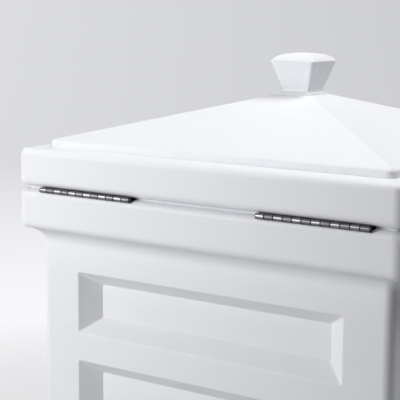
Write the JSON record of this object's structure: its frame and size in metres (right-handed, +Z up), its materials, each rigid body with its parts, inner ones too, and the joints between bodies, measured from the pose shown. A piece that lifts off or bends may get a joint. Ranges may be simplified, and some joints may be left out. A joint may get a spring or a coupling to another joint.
{
  "type": "parcel delivery box",
  "caption": "Double-walled moulded parcel box with a bevelled recess in each wall and a hinged, hipped lid with a square flared finial.",
  "frame": {"origin": "centre of the footprint, on the surface that the feet stand on", "axes": "+Z up; X along the hinges; +Y towards the hinge side, which the picture shows"},
  "size_m": [0.58, 0.522, 0.7022],
  "materials": {
    "white_shell": "satin moulded",
    "liner_plastic": "satin moulded",
    "seal_rubber": "closed-cell foam",
    "foot_rubber": "matte",
    "hinge_steel": "dark brushed",
    "steel_screw": "plain",
    "brass_insert": "plain"
  },
  "bodies": {
    "body": {"body_shell": "white_shell", "parcel_tub": "liner_plastic", "tub_screws": "steel_screw", "floor_tray": "liner_plastic", "body_hinge_screws": "steel_screw", "body_hinge_inserts": "brass_insert", "hinge_left_body_leaf": "hinge_steel", "hinge_left_pin": "hinge_steel", "hinge_right_body_leaf": "hinge_steel", "hinge_right_pin": "hinge_steel", "foot_front_left": "foot_rubber", "foot_front_right": "foot_rubber", "foot_back_left": "foot_rubber", "foot_back_right": "foot_rubber", "foot_screws": "steel_screw"},
    "lid": {"lid_shell": "white_shell", "lid_liner": "liner_plastic", "liner_screws": "steel_screw", "lid_seal": "seal_rubber", "lid_hinge_screws": "steel_screw", "lid_hinge_inserts": "brass_insert", "hinge_left_lid_leaf": "hinge_steel", "hinge_right_lid_leaf": "hinge_steel"}
  },
  "joints": [
    {"name": "lid_hinge", "type": "hinge", "parent": "body", "child": "lid", "pos_m": [0, 0.2585, 0.521], "axis": [-1, 0, 0], "range_deg": [0, 155]}
  ]
}
